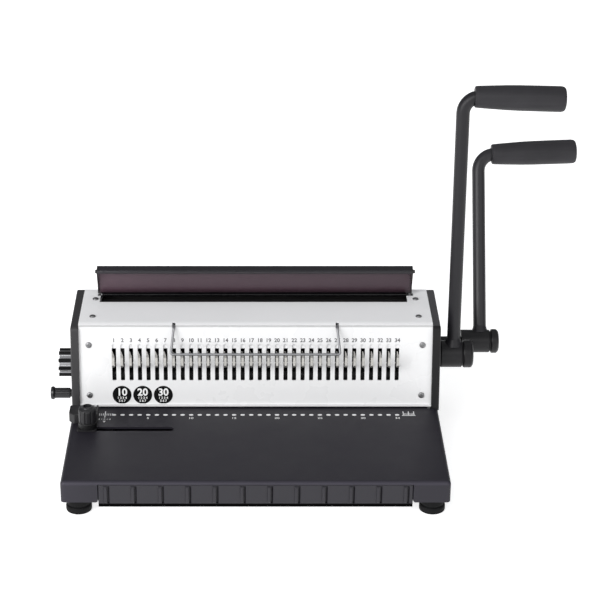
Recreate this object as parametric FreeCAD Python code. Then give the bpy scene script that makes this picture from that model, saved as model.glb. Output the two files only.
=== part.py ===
import FreeCAD, Part
import math
import os

V = FreeCAD.Vector

# ---------------------------------------------------------------------------
# Manual wire binding machine, 34 holes at 3:1 pitch.  Millimetres, +Z up.
# Working frame while modelling: X from the middle of the body (right is +),
# Y from the bottom of the front panel (towards the back is +), Z from the
# ground.  At the end everything is moved by (-OFF_X, -OFF_Y, 0) so that the
# origin is at the middle of the footprint of the whole machine.
# ---------------------------------------------------------------------------
OFF_X = 61.95
OFF_Y = 11.63

# punching pattern
PITCH = 25.4 / 3.0        # 3:1 pitch, three holes to the inch
HOLES = 34
PUNCH = 4.0               # square punch
PUNCH_Y = 10.8            # line of punches behind the front panel

# body
BODY_HALF = 174.5         # inner face of the side covers
SIDE_T = 7.7              # side cover thickness
TRAY_Z = 37.0             # top of the paper tray
LEAN = 8.0                # the front panel leans back by this much
DECK_Z = 122.3            # top of the deck
SIDE_TOP = 119.8          # top edge of the side covers at the front
SIDE_TOP_R = 123.0        # and at the back
REAR_Y = 98.0             # back of the side covers
SHEET = 1.5
UNDER_Z = 15.3            # underside of the base
FRAME_X = 170.6           # inner face of the steel frame plates
FRAME_T = 3.0

# tray
TRAY_HALF = 181.2
TRAY_FRONT = -151.0
TRAY_T = 2.2
GUIDE_SLOT = (-171.0, -79.4, -50.6, -42.4)

# feet
FOOT_X, FOOT_YF, FOOT_YR, FOOT_R = 165.5, -136.0, 83.0, 12.2

# front panel
SLOT_W, SLOT_H0, SLOT_H1 = 4.1, 27.8, 65.5
SCREW_X, SCREW_H = 164.5, (12.5, 64.6)   # panel screws

# shafts: (y, z)
A = (34.0, 79.5)          # punching shaft
B = (72.0, 75.5)          # closing shaft
DIAL = (42.0, 65.7)       # wire size dial
MARG = (21.0, 42.1)       # margin knob and paper stop
A_R, B_R = 7.0, 4.8           # at the lever end
A_IN, B_IN = 5.0, 3.6         # between the frame plates, under the pinions

# rack and pinion drives
A_TEETH, B_TEETH = 15, 11     # module 1: pitch radii 7.5 and 5.5
A_TRAVEL_DEG, B_TRAVEL_DEG = 85.0, 83.0

# levers
A_X, A_LEN, A_BACK, A_TILT = 197.6, 266.6, 1.63, -1.6
B_X, B_LEN, B_BACK, B_TILT = 228.6, 192.1, 27.96, 2.06
ROD_R = 6.5
GRIP_LEN = 86.5

# deck opening and lid
OPEN_X0, OPEN_X1, OPEN_Y0, OPEN_Y1 = -157.0, 153.0, 64.8, 86.2
LID_X0, LID_X1 = -159.8, 158.4
LID_Y, LID_Z = 82.8, 122.2    # lid hinge axis

NODES = {}


# ---------------------------------------------------------------------------
# helpers
# ---------------------------------------------------------------------------
def box(x0, x1, y0, y1, z0, z1):
    return Part.makeBox(x1 - x0, y1 - y0, z1 - z0, V(x0, y0, z0))


def cyl_x(x0, x1, y, z, r):
    return Part.makeCylinder(r, x1 - x0, V(x0, y, z), V(1, 0, 0))


def cyl_y(y0, y1, x, z, r):
    return Part.makeCylinder(r, y1 - y0, V(x, y0, z), V(0, 1, 0))


def cyl_z(z0, z1, x, y, r):
    return Part.makeCylinder(r, z1 - z0, V(x, y, z0), V(0, 0, 1))


def face_of(points):
    pts = list(points)
    if (pts[0] - pts[-1]).Length > 1e-7:
        pts.append(pts[0])
    return Part.Face(Part.makePolygon(pts))


def prism_x(yz, x0, x1):
    """Solid with outline yz in the YZ plane, from x0 to x1."""
    return face_of([V(x0, y, z) for y, z in yz]).extrude(V(x1 - x0, 0, 0))


def turned_x(xr, y, z):
    """Solid of revolution about a line along X through (y, z)."""
    f = face_of([V(x, y, z + r) for x, r in xr])
    return f.revolve(V(0, y, z), V(1, 0, 0), 360)


def turned_z(rz, x, y):
    f = face_of([V(x + r, y, z) for r, z in rz])
    return f.revolve(V(x, y, 0), V(0, 0, 1), 360)


def fuse(shapes):
    s = shapes[0]
    if len(shapes) > 1:
        s = s.multiFuse(list(shapes[1:]))
    return s.removeSplitter()


def cut(base, tools):
    s = base.cut(list(tools)) if isinstance(tools, (list, tuple)) else base.cut(tools)
    return s.removeSplitter()


def fillet(shape, r, test):
    """Round the edges whose bound box passes the test."""
    edges = [e for e in shape.Edges if test(e.BoundBox)]
    return shape.makeFillet(r, edges) if edges else shape


def chamfer(shape, r, test):
    edges = [e for e in shape.Edges if test(e.BoundBox)]
    return shape.makeChamfer(r, edges) if edges else shape


def near(a, b, tol=0.02):
    return abs(a - b) < tol


def lean(shape):
    """Panel frame (face in the plane y=0, height above the tray in z) to the machine."""
    s = shape.copy()
    s.rotate(V(0, 0, TRAY_Z), V(1, 0, 0), -LEAN)
    return s


def panel_pt(off, h):
    """Point at the given distance in front of the panel and height along it, as (y, z)."""
    s, c = math.sin(math.radians(LEAN)), math.cos(math.radians(LEAN))
    return (h * s - off * c, TRAY_Z + h * c + off * s)


def slot_x(i):
    return (i - (HOLES - 1) / 2.0) * PITCH


def mirror_x(shape):
    return shape.mirror(V(0, 0, 0), V(1, 0, 0))


def group(shapes):
    return Part.makeCompound(list(shapes))


def node(name, shape):
    NODES[name] = shape


def ribbon(points, t):
    """Outline of a strip of thickness t that follows the open polyline."""
    left, right = [], []
    n = len(points)
    for i in range(n):
        if i == 0:
            d = (points[1][0] - points[0][0], points[1][1] - points[0][1])
            dirs = [d]
        elif i == n - 1:
            d = (points[-1][0] - points[-2][0], points[-1][1] - points[-2][1])
            dirs = [d]
        else:
            dirs = [(points[i][0] - points[i - 1][0], points[i][1] - points[i - 1][1]),
                    (points[i + 1][0] - points[i][0], points[i + 1][1] - points[i][1])]
        ns = []
        for d in dirs:
            L = math.hypot(*d)
            ns.append((-d[1] / L, d[0] / L))
        nx = sum(q[0] for q in ns) / len(ns)
        ny = sum(q[1] for q in ns) / len(ns)
        L = math.hypot(nx, ny)
        nx, ny = nx / L, ny / L
        k = 1.0 / max(0.35, nx * ns[0][0] + ny * ns[0][1])
        left.append((points[i][0] + nx * k * t / 2, points[i][1] + ny * k * t / 2))
        right.append((points[i][0] - nx * k * t / 2, points[i][1] - ny * k * t / 2))
    return left + right[::-1]


def arc_pts(cx, cy, r, a0, a1, n):
    return [(cx + r * math.cos(math.radians(a0 + (a1 - a0) * i / n)),
             cy + r * math.sin(math.radians(a0 + (a1 - a0) * i / n))) for i in range(n + 1)]


# ---------------------------------------------------------------------------
# rack and pinion.  Rack in its own frame: u along the rack, v towards the
# pinion, pitch line v = 0, a tooth centred on u = 0 (module 1, 20 degrees).
# ---------------------------------------------------------------------------
ADD, DED, CLEAR = 0.75, 1.0, 0.10
TAN20 = math.tan(math.radians(20))


def rack_tooth(grow):
    q = math.pi / 4.0 - 0.04
    return [(-q - DED * TAN20 - grow, -DED), (-q + ADD * TAN20 - grow, ADD + grow),
            (q - ADD * TAN20 + grow, ADD + grow), (q + DED * TAN20 + grow, -DED)]


def in_rack(u, v, grow):
    if v > ADD + grow:
        return False
    if v < -DED:
        return True
    u = (u + math.pi / 2.0) % math.pi - math.pi / 2.0
    q = math.pi / 4.0 - 0.04 - v * TAN20 + grow
    return abs(u) < q


def pinion_outline(teeth):
    """Polar outline of a pinion cut by the rack, with a tooth space at the
    contact point (angle 0 points at the rack) when the rack tooth is there."""
    r = teeth / 2.0
    tip = r + 0.85
    per = 2 * math.pi / teeth
    n = 18
    radii = []
    for k in range(n + 1):
        phi = -per / 2 + per * k / n
        rr = tip
        while rr > r - 1.6:
            hit = False
            for s in range(-60, 61):
                th = s * (0.62 / 60.0) * (15.0 / teeth)
                a = phi + th
                # pinion centre at v = r above the rack's pitch line
                u = rr * math.sin(a) - r * th
                v = r - rr * math.cos(a)
                if in_rack(u, v, CLEAR):
                    hit = True
                    break
            if not hit:
                break
            rr -= 0.04
        radii.append((phi, rr))
    out = []
    for t in range(teeth):
        for phi, rr in radii[:-1]:
            out.append((phi + t * per, rr))
    return out


# ---------------------------------------------------------------------------
# base, feet, tray
# ---------------------------------------------------------------------------
def feet():
    out, screws = [], []
    for x in (-FOOT_X, FOOT_X):
        for y in (FOOT_YF, FOOT_YR):
            prof = [(2.6, 3.2), (5.0, 3.2), (5.0, 0.0), (10.9, 0.0), (12.0, 0.8), (FOOT_R, 1.8),
                    (FOOT_R, 5.2), (11.7, 6.3), (10.7, 6.9), (10.7, 8.0), (11.5, 8.6), (11.7, 9.6),
                    (11.7, UNDER_Z), (2.6, UNDER_Z)]
            out.append(turned_z(prof, x, y))
            sc = [(0, 0.8), (4.3, 0.8), (4.6, 1.6), (4.6, 3.1), (2.1, 3.1), (2.1, 20.4), (0, 20.4)]
            s = turned_z(sc, x, y)
            s = cut(s, [box(x - 3, x + 3, y - 0.5, y + 0.5, 0.7, 1.9)])
            screws.append(s)
    node("rubber_feet", group(out))
    node("foot_screws", group(screws))


def base_pan():
    s = fuse([box(-178.2, 178.2, -147.4, -4.0, UNDER_Z, 17.0),
              box(-173.6, 173.6, -4.1, 96.2, UNDER_Z, 17.0)])
    holes = [cyl_z(10, 20, x, y, 2.3) for x in (-FOOT_X, FOOT_X) for y in (FOOT_YF, FOOT_YR)]
    node("base_pan", cut(s, holes))


def tray_cover():
    outer = box(-TRAY_HALF, TRAY_HALF, TRAY_FRONT, -3.4, UNDER_Z, TRAY_Z)
    outer = fillet(outer, 4.0, lambda b: near(b.YMin, TRAY_FRONT) and near(b.YMax, TRAY_FRONT)
                   and b.ZLength > 5 or (near(b.ZMin, TRAY_Z) and near(b.ZMax, TRAY_Z)
                                         and not near(b.YMin, -3.4)))
    inner = box(-TRAY_HALF + TRAY_T, TRAY_HALF - TRAY_T, TRAY_FRONT + TRAY_T, 0, 10, TRAY_Z - TRAY_T)
    inner = fillet(inner, 1.9, lambda b: near(b.ZMin, TRAY_Z - TRAY_T) and near(b.ZMax, TRAY_Z - TRAY_T)
                   and not near(b.YMin, 0) or (near(b.YMin, TRAY_FRONT + TRAY_T)
                                               and near(b.YMax, TRAY_FRONT + TRAY_T) and b.ZLength > 5))
    tongue = box(-170.2, 170.2, -3.5, 1.8, TRAY_Z - TRAY_T, TRAY_Z)
    x0, x1, y0, y1 = GUIDE_SLOT
    r = (y1 - y0) / 2
    yc = (y0 + y1) / 2
    tools = [inner,
             box(-146.5, 146.5, TRAY_FRONT - 1, TRAY_FRONT + 3, 5, 33.9),
             box(x0 + r, x1 - r, y0, y1, 30, 40), cyl_z(30, 40, x0 + r, yc, r), cyl_z(30, 40, x1 - r, yc, r)]
    s = cut(outer, tools)
    s = fuse([s, tongue])
    # bosses inside the four corners that stand on the base pan
    bosses = [cyl_z(17.0, TRAY_Z - 1.2, x, y, 4.0) for x in (-171.5, 171.5) for y in (-117.0, -20.0)]
    s = fuse([s] + bosses)
    # rounded lower corners of the two end blocks of the skirt
    s = fillet(s, 2.0, lambda b: near(b.ZMin, UNDER_Z) and near(b.ZMax, UNDER_Z) and b.XLength < 0.01
               and near(abs(b.XMin), 146.5) and b.YLength > 1)
    node("tray_cover", s)


def drawer():
    # face plate with its lower edge bevelled under; twelve upright ribs, each
    # with a groove on its right
    yf = TRAY_FRONT + 0.3
    plate = prism_x([(yf, 33.0), (yf, 14.6), (yf + 0.4, 13.8), (yf + 1.4, 9.9), (-147.4, 9.9), (-147.4, 33.5),
                     (yf + 0.5, 33.5)], -146.0, 146.0)
    plate = fillet(plate, 1.0, lambda b: b.XLength < 0.01 and b.YMax < -150 and b.ZLength > 5)
    ribs, grooves = [], []
    for i in range(12):
        xc = (i - 5.5) * 25.3
        pts = [V(xc - 2.0, yf + 0.3, 15.2), V(xc - 1.3, yf - 1.2, 15.2), V(xc - 0.7, yf - 1.6, 15.2),
               V(xc + 0.9, yf - 1.6, 15.2), V(xc + 1.4, yf - 1.2, 15.2), V(xc + 1.5, yf + 0.3, 15.2)]
        r = face_of(pts).extrude(V(0, 0, 17.0))
        r = chamfer(r, 0.9, lambda b: near(b.YMin, yf - 1.6) and near(b.YMax, yf - 1.6) and b.ZLength < 0.01)
        ribs.append(r)
        g = [V(xc + 1.5, yf - 1, 14.2), V(xc + 1.5, yf + 1.9, 14.2), V(xc + 2.6, yf + 1.9, 14.2), V(xc + 4.3, yf - 1, 14.2)]
        grooves.append(face_of(g).extrude(V(0, 0, 18.2)))
    node("drawer_front", fuse([cut(plate, grooves)] + ribs))

    w = 1.2
    out = box(-139.5, 139.5, -147.4, 26.0, 17.8, 29.8)
    hollow = box(-139.5 + w, 139.5 - w, -147.4 + w, 26.0 - w, 17.8 + w, 40)
    low = box(-141, 141, -4.2, 27, 26.8, 40)
    t = cut(out, [hollow, low])
    node("drawer_tray", t)
    rails = []
    for sx in (-1, 1):
        r = fuse([box(140.0, 141.4, -146.0, 24.0, 17.0, 21.5), box(141.3, 146.0, -146.0, 24.0, 17.0, 18.2)])
        rails.append(r if sx > 0 else mirror_x(r))
    node("drawer_rails", group(rails))


# ---------------------------------------------------------------------------
# side covers, steel frame, sheet panels
# ---------------------------------------------------------------------------
def front_line(z, off):
    return (z - TRAY_Z) * math.tan(math.radians(LEAN)) - off / math.cos(math.radians(LEAN))


def side_profile(off_front, z0, z1, y1, z1_rear):
    return [(front_line(TRAY_Z, off_front), z0), (front_line(TRAY_Z, off_front), TRAY_Z),
            (front_line(z1, off_front), z1), (y1, z1_rear), (y1, z0)]


def side_covers():
    for name, sgn in (("left_side_cover", -1), ("right_side_cover", 1)):
        x0, x1 = BODY_HALF, BODY_HALF + SIDE_T
        s = prism_x(side_profile(3.0, UNDER_Z, SIDE_TOP, REAR_Y, SIDE_TOP_R), x0, x1)
        ytf = front_line(SIDE_TOP, 3.0)
        s = fillet(s, 5.0, lambda b: b.XLength > 5 and b.ZMin > SIDE_TOP - 0.1)
        s = fillet(s, 1.6, lambda b: near(b.XMin, x1) and near(b.XMax, x1) and not near(b.ZMax, UNDER_Z))
        pocket = prism_x([(front_line(42.0, 3.0) + 3.4, 42.0), (ytf + 6.5, SIDE_TOP - 4.0),
                          (REAR_Y - 4.0, SIDE_TOP - 4.0), (REAR_Y - 4.0, 42.0)], x0 - 1, x0 + 4.7)
        s = cut(s, [pocket])
        # the foot of the cover is set in, level with the side of the tray
        s = cut(s, [box(179.2, 190.0, -20.0, 110.0, UNDER_Z - 1.0, 34.6)])
        if sgn > 0:
            s = fuse([s, cyl_x(x1 - 1.0, x1 + 2.3, A[0], A[1], 13.2)])
            s = cut(s, [cyl_x(x0 - 2, x1 + 4, A[0], A[1], 8.0), cyl_x(x0 - 2, x1 + 2, B[0], B[1], 5.8)])
        else:
            s = cut(s, [cyl_x(x0 - 2, x1 + 2, DIAL[0], DIAL[1], 5.0), cyl_x(x0 - 2, x1 + 2, MARG[0], MARG[1], 5.0)])
            s = mirror_x(s)
        node(name, s)


def frame_plates():
    for name, sgn in (("left_frame_plate", -1), ("right_frame_plate", 1)):
        x0, x1 = FRAME_X, FRAME_X + FRAME_T
        prof = [(front_line(TRAY_Z, -1.7), 17.0), (front_line(TRAY_Z, -1.7), TRAY_Z),
                (front_line(118.8, -1.7), 118.8), (94.4, 118.8), (94.4, 17.0)]
        s = prism_x(prof, x0, x1)
        # flange behind the front panel, in the panel frame
        fl = lean(box(157.0, x0 + 0.5, 1.7, 3.2, TRAY_Z + 5.0, TRAY_Z + 78.0))
        top = box(156.2, x0 + 0.5, 16.0, 90.0, 116.6, 118.8)
        foot = box(150.0, x0 + 0.5, 30.0, 90.0, 17.0, 19.2)
        rear = box(157.0, x0 + 0.5, 92.0, 94.4, 22.0, 86.0)
        s = fuse([s, fl, top, foot, rear])
        tools = [cyl_x(x0 - 1, x1 + 1, A[0], A[1], 10.0), cyl_x(x0 - 1, x1 + 1, B[0], B[1], 8.5),
                 cyl_x(x0 - 1, x1 + 1, DIAL[0], DIAL[1], 4.05), cyl_x(x0 - 1, x1 + 1, MARG[0], MARG[1], 4.05)]
        # screw holes
        for h in SCREW_H:
            y, z = panel_pt(0, h)
            hole = Part.makeCylinder(1.55, 14, V(SCREW_X, y, z), V(0, math.cos(math.radians(LEAN)), -math.sin(math.radians(LEAN))))
            tools.append(hole)
        for y in (29.5, 71.5):
            tools.append(cyl_z(110, 125, 161.5, y, 1.55))
        for z in (32.0, 78.0):
            tools.append(cyl_y(88, 97, 165.0, z, 1.55))
        tools.append(cyl_z(116, 119.5, 163.0, 21.0, 4.0))
        tools.append(cyl_z(16, 20, FOOT_X, FOOT_YR, 2.3))
        s = cut(s, tools)
        node(name, s if sgn > 0 else mirror_x(s))


def front_panel():
    s = box(-174.3, 174.3, 0, SHEET, TRAY_Z + 6.0, TRAY_Z + 84.1)
    # the lower edge turns forward above the paper throat
    path = [(-SHEET / 2, 8.0), (-SHEET / 2, 4.2), (-0.45, 3.0), (0.4, 2.25), (2.2, 2.0)]
    lip = prism_x([(-o, TRAY_Z + h) for o, h in ribbon(path, SHEET)], -174.3, 174.3)
    s = fuse([s, lip])
    tools = []
    r, q = SLOT_W / 2, 0.9
    for i in range(HOLES):
        x = slot_x(i)
        h0, h1 = TRAY_Z + SLOT_H0, TRAY_Z + SLOT_H1
        # round top, square foot with rounded corners
        tools.append(fuse([box(x - r, x + r, -1, 3, h0 + q, h1 - r), cyl_y(-1, 3, x, h1 - r, r),
                           box(x - r + q, x + r - q, -1, 3, h0, h0 + q + 0.1),
                           cyl_y(-1, 3, x - r + q, h0 + q, q), cyl_y(-1, 3, x + r - q, h0 + q, q)]))
    for x in (-SCREW_X, SCREW_X):
        for h in SCREW_H:
            tools.append(cyl_y(-1, 3, x, TRAY_Z + h, 1.6))
    for x in (-80.3, 80.3):
        tools.append(box(x - 1.55, x + 1.55, -1, 3, TRAY_Z + 81.6, TRAY_Z + 86))     # legs of the wire bail
    s = cut(s, tools)
    node("front_panel", lean(s))


def top_cover():
    prof = [(12.0, 120.5), (12.0, 120.8), (12.35, 121.35), (13.2, 121.82), (14.8, 122.14), (17.2, DECK_Z), (96.1, DECK_Z),
            (96.1, DECK_Z - SHEET), (13.9, DECK_Z - SHEET), (13.5, 120.7), (13.5, 120.5)]
    s = prism_x(prof, -174.3, 174.3)
    # the flange behind the panel, seen through the upper ends of the slots
    flange = lean(box(-156.0, 156.0, 1.6, 2.6, TRAY_Z + 60.7, TRAY_Z + 85.0))
    flange = cut(flange, [box(x - 5.5, x + 5.5, 5.0, 17.4, 116.0, 125.0) for x in (-83.0, 83.0)])
    s = fuse([s, flange])
    tools = [box(OPEN_X0, OPEN_X1, OPEN_Y0, OPEN_Y1, 110, 130)]
    for x in (-161.5, 161.5):
        for y in (29.5, 71.5):
            tools.append(cyl_z(110, 130, x, y, 1.6))
    for x in (-80.3, 80.3):
        tools.append(box(x - 1.55, x + 1.55, 8.0, 17.4, 118, 130))
    for x0, x1 in ((-160.0, -155.8), (152.9, 160.0)):
        tools.append(box(x0, x1, LID_Y - 2.6, LID_Y + 2.0, 118, 130))
    s = cut(s, tools)
    node("top_cover", s)


def rear_cover():
    s = box(-174.3, 174.3, 94.6, 96.1, 17.2, 120.6)
    tools = []
    for x in (-165.0, 165.0):
        for z in (32.0, 78.0):
            tools.append(cyl_y(90, 100, x, z, 1.6))
    node("rear_cover", cut(s, tools))


def pan_screw(length=6.0):
    """Low pan head screw, head on z > 0, shank along -z."""
    head = turned_z([(0, 0.02), (3.0, 0.02), (3.0, 0.7), (2.6, 1.2), (1.8, 1.5), (0, 1.62)], 0, 0)
    shank = Part.makeCylinder(1.5, length, V(0, 0, -length + 0.02), V(0, 0, 1))
    s = head.fuse(shank)
    cross = [box(-1.9, 1.9, -0.4, 0.4, 0.75, 3), box(-0.4, 0.4, -1.9, 1.9, 0.75, 3)]
    return cut(s, cross)


def screws():
    out = []
    base = pan_screw()
    short = pan_screw(3.4)
    for x in (-SCREW_X, SCREW_X):
        for h in SCREW_H:
            s = short.copy()
            s.rotate(V(0, 0, 0), V(1, 0, 0), 90)      # head towards -Y
            s.translate(V(x, 0, TRAY_Z + h))
            out.append(lean(s))
    for x in (-161.5, 161.5):
        for y in (29.5, 71.5):
            s = base.copy()
            s.translate(V(x, y, DECK_Z))
            out.append(s)
    for x in (-165.0, 165.0):
        for z in (32.0, 78.0):
            s = base.copy()
            s.rotate(V(0, 0, 0), V(1, 0, 0), -90)     # head towards +Y
            s.translate(V(x, 96.1, z))
            out.append(s)
    node("panel_screws", group(out))


# ---------------------------------------------------------------------------
# punching: hooks, die, guide, bar, punches
# ---------------------------------------------------------------------------
def hook_comb():
    """Strip behind the panel with a finger through every slot, turned up as a hook."""
    t, w = 1.2, 2.5
    h0 = 45.6
    # (distance in front of the panel, height)
    path = [(-5.4, h0), (10.4, h0)] + arc_pts(10.4, h0 + 1.6, 1.6, -90, 0, 5)[1:] + [(12.0, 55.4), (12.35, 58.2), (12.75, 61.9)]
    outline = [(-o, TRAY_Z + h) for o, h in ribbon(path, t)]
    finger = prism_x(outline, -w / 2, w / 2)
    # the tip is cut at a slant, its point on the left
    slant = face_of([V(x, -20.0, TRAY_Z + h) for x, h in ((0.7 - w / 2, 61.9), (w / 2, 56.4), (w / 2 + 2, 56.4),
                                                       (w / 2 + 2, 65.0), (0.7 - w / 2, 65.0))]).extrude(V(0, 20.0, 0))
    finger = cut(finger, slant)
    fingers = []
    for i in range(HOLES):
        f = finger.copy()
        f.translate(V(slot_x(i), 0, 0))
        fingers.append(f)
    lower = box(-170.5, 170.5, 1.75, 6.0, TRAY_Z + h0 - t / 2, TRAY_Z + h0 + t / 2)
    # clear of the frame's flanges behind the panel
    ends = [box(156.4, 171, 0, 3.5, TRAY_Z + 40, TRAY_Z + 70), box(-171, -156.4, 0, 3.5, TRAY_Z + 40, TRAY_Z + 70)]
    node("hook_comb", lean(fuse([cut(lower, ends)] + fingers)))


def die_block():
    s = fuse([box(-FRAME_X + 0.05, FRAME_X - 0.05, 2.0, 32.0, 28.0, TRAY_Z),
              box(-FRAME_X + 0.05, -148.0, 2.0, 15.5, 20.0, 28.1), box(148.0, FRAME_X - 0.05, 2.0, 15.5, 20.0, 28.1)])
    g = 0.06
    tools = [box(slot_x(i) - PUNCH / 2 - g, slot_x(i) + PUNCH / 2 + g, PUNCH_Y - PUNCH / 2 - g,
                 PUNCH_Y + PUNCH / 2 + g, 20, 40) for i in range(HOLES)]
    tools.append(box(-200, 200, 14.6, 32.5, 34.2, 40))       # room for the paper stop bar
    node("die_block", cut(s, tools))


def punch_guide():
    s = box(-FRAME_X + 0.05, FRAME_X - 0.05, 5.4, 13.9, TRAY_Z, 49.0)
    g = 0.06
    tools = [box(slot_x(i) - PUNCH / 2 - g, slot_x(i) + PUNCH / 2 + g, PUNCH_Y - PUNCH / 2 - g,
                 PUNCH_Y + PUNCH / 2 + g, 30, 60) for i in range(HOLES)]
    tools.append(box(-155.5, 155.5, 0, 20, 30, 39.2))        # gap for the sheets
    s = cut(s, tools)
    feet_ = [box(x - 7.5, x + 7.5, 13.8, 27.5, 47.7, 49.0) for x in (-163.0, 163.0)]
    s = fuse([s] + feet_)
    node("punch_guide", s)
    # vertical guide pins that the punch bar runs on
    node("punch_guide_pins", group([cyl_z(49.0, 118.8, x, 21.0, 3.98) for x in (-163.0, 163.0)]))


def punch_bar():
    bar = box(-169.0, 169.0, 8.9, 28.0, 61.0, 71.1)
    bar = chamfer(bar, 1.0, lambda b: b.XLength > 300)
    holes = [cyl_z(50, 80, x, 21.0, 4.04) for x in (-163.0, 163.0)]
    bar = cut(bar, holes)
    posts = []
    r = A_TEETH / 2.0
    yp = A[0] - r                       # pitch line of the rack
    for sx in (-1, 1):
        x0, x1 = (128.0, 138.0) if sx > 0 else (-138.0, -128.0)
        back = box(x0, x1, yp - 6.0, yp - DED + 0.01, 71.0, 100.0)
        teeth = []
        n0 = int(math.floor((73.6 - A[1]) / math.pi)) + 1
        n1 = int(math.floor((99.0 - A[1]) / math.pi))
        for k in range(n0, n1 + 1):
            zc = A[1] + k * math.pi
            pts = [(yp + v, zc + u) for u, v in rack_tooth(0.0)]
            teeth.append(prism_x(pts, x0, x1))
        posts.append(fuse([back] + teeth))
    node("punch_bar", fuse([bar] + posts))
    pins = [box(slot_x(i) - PUNCH / 2, slot_x(i) + PUNCH / 2, PUNCH_Y - PUNCH / 2 + 0.0, PUNCH_Y + PUNCH / 2,
                40.2, 61.0) for i in range(HOLES)]
    node("punches", group(pins))


def coil(x, y, z0, z1, rc, rw, turns):
    """Coil spring standing along Z."""
    pitch = (z1 - z0 - 2 * rw) / turns
    helix = Part.makeHelix(pitch, z1 - z0 - 2 * rw, rc)
    prof = Part.Wire([Part.makeCircle(rw, V(rc, 0, 0), V(0, 1, 0))])
    s = Part.Wire(helix.Edges).makePipeShell([prof], True, True)
    s = Part.Solid(s) if s.ShapeType != "Solid" else s
    s.translate(V(x, y, z0 + rw))
    return s


def springs():
    node("return_springs", group([coil(x, 21.0, 71.4, 116.3, 5.4, 0.7, 13) for x in (-163.0, 163.0)]))


def pinion(x0, x1, centre, teeth, toward, bore):
    """Pinion along X with its tooth space towards the rack; toward is the
    angle in the YZ plane (from +Y, anticlockwise seen from +X)."""
    pts = []
    for phi, rr in pinion_outline(teeth):
        a = math.radians(toward) + phi
        pts.append((centre[0] + rr * math.cos(a), centre[1] + rr * math.sin(a)))
    s = prism_x(pts, x0, x1)
    return cut(s, cyl_x(x0 - 1, x1 + 1, centre[0], centre[1], bore))


# ---------------------------------------------------------------------------
# levers
# ---------------------------------------------------------------------------
def lever(prefix, centre, x_rod, length, back, tilt, bend_r, hub_x0, hub_x1, hub_r, cap_x1, cap_r, grip_x0,
          shaft_r, shaft_x0, inner_r):
    y0, z0 = centre

    def place(s):
        s = s.copy()
        s.rotate(V(0, 0, 0), V(1, 0, 0), -back)
        s.translate(V(0, y0, z0))
        return s

    phi = math.radians(90.0 - tilt)
    t = math.radians(tilt)
    # height of the straight rod below the bend
    z_end_arc = length - (25.0 - bend_r * (1 - math.cos(phi))) * math.tan(t)
    l0 = z_end_arc - bend_r * math.sin(phi)
    rod = Part.makeCylinder(ROD_R, l0, V(x_rod, 0, 0), V(0, 0, 1))
    circ = Part.Face(Part.Wire(Part.makeCircle(ROD_R, V(x_rod, 0, l0), V(0, 0, 1))))
    arc = circ.revolve(V(x_rod + bend_r, 0, l0), V(0, 1, 0), 90.0 - tilt)
    ex, ez = x_rod + bend_r - bend_r * math.cos(phi), l0 + bend_r * math.sin(phi)
    d = V(math.cos(t), 0, math.sin(t))
    run = GRIP_LEN - 18.0 - (ex - grip_x0)
    straight = Part.makeCylinder(ROD_R, run, V(ex, 0, ez), d)
    flare = Part.makeCone(hub_r * 0.72, ROD_R, 7.0, V(x_rod, 0, hub_r - 3.0), V(0, 0, 1))
    s = fuse([rod, arc, straight, flare])
    s = cut(s, cyl_x(hub_x0 - 5, hub_x1 + 5, 0, 0, hub_r))
    rod_s = s
    # grip: turned profile along its axis, closed at the outer end
    g0 = V(grip_x0, 0, ez - (ex - grip_x0) * math.tan(t))
    L = GRIP_LEN
    prof = [(0, 0), (0, 9.5), (0.7, 10.2), (3.0, 10.5), (10.0, 10.9), (20.0, 11.4), (30.0, 11.9), (42.0, 12.2),
            (60.0, 12.3), (76.0, 12.35), (82.0, 12.3), (84.4, 11.8), (85.8, 10.6), (86.4, 8.8), (L, 7.4), (L, 0)]
    f = face_of([V(a, 0, r) for a, r in prof])
    g = f.revolve(V(0, 0, 0), V(1, 0, 0), 360)
    g.rotate(V(0, 0, 0), V(0, 1, 0), -tilt)
    g.translate(g0)
    g = cut(g, rod_s)
    solids = sorted(g.Solids, key=lambda q: -q.Volume)
    g = solids[0]
    node(prefix + "_rod", place(rod_s))
    node(prefix + "_grip", place(g))
    # hub on the shaft, with a turned groove before the cap
    hub = turned_x([(hub_x0, shaft_r), (hub_x0, hub_r - 0.6), (hub_x0 + 0.6, hub_r), (hub_x1 - 0.8, hub_r),
                    (hub_x1, hub_r - 0.8), (hub_x1, shaft_r)], 0, 0)
    node(prefix + "_hub", place(hub))
    c0 = hub_x1 + 0.05
    cap = turned_x([(c0, 0), (c0, cap_r - 2.2), (c0 + 0.7, cap_r - 2.2), (c0 + 1.5, cap_r - 0.3), (c0 + 2.2, cap_r),
                    (cap_x1 - 2.4, cap_r), (cap_x1 - 1.0, cap_r - 0.9), (cap_x1, cap_r - 2.6), (cap_x1, 0)], 0, 0)
    cap = cut(cap, cyl_x(c0 - 1, c0 + 4.0, 0, 0, shaft_r))
    node(prefix + "_cap", place(cap))
    shaft = fuse([cyl_x(shaft_x0, 166.0, 0, 0, inner_r), cyl_x(166.0, c0 + 3.95, 0, 0, shaft_r)])
    node(prefix + "_shaft", place(shaft))


def drives():
    lever("punch_lever", A, A_X, A_LEN, A_BACK, A_TILT, 16.0, 184.9, 206.2, 13.5, 217.1, 13.9, 208.2,
          A_R, -176.0, A_IN)
    lever("closing_lever", B, B_X, B_LEN, B_BACK, B_TILT, 17.0, 208.8, 238.2, 11.6, 247.1, 12.2, 242.2,
          B_R, -176.0, B_IN)
    # pinions, keyed to the shafts
    a = [pinion(x - 4.0, x + 4.0, A, A_TEETH, 180.0, A_IN) for x in (-133.0, 133.0)]
    node("punch_pinions", group(a))
    b = [pinion(x - 3.5, x + 3.5, B, B_TEETH, 90.0, B_IN) for x in (-156.0, 156.0)]
    node("closing_pinions", group(b))


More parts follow.
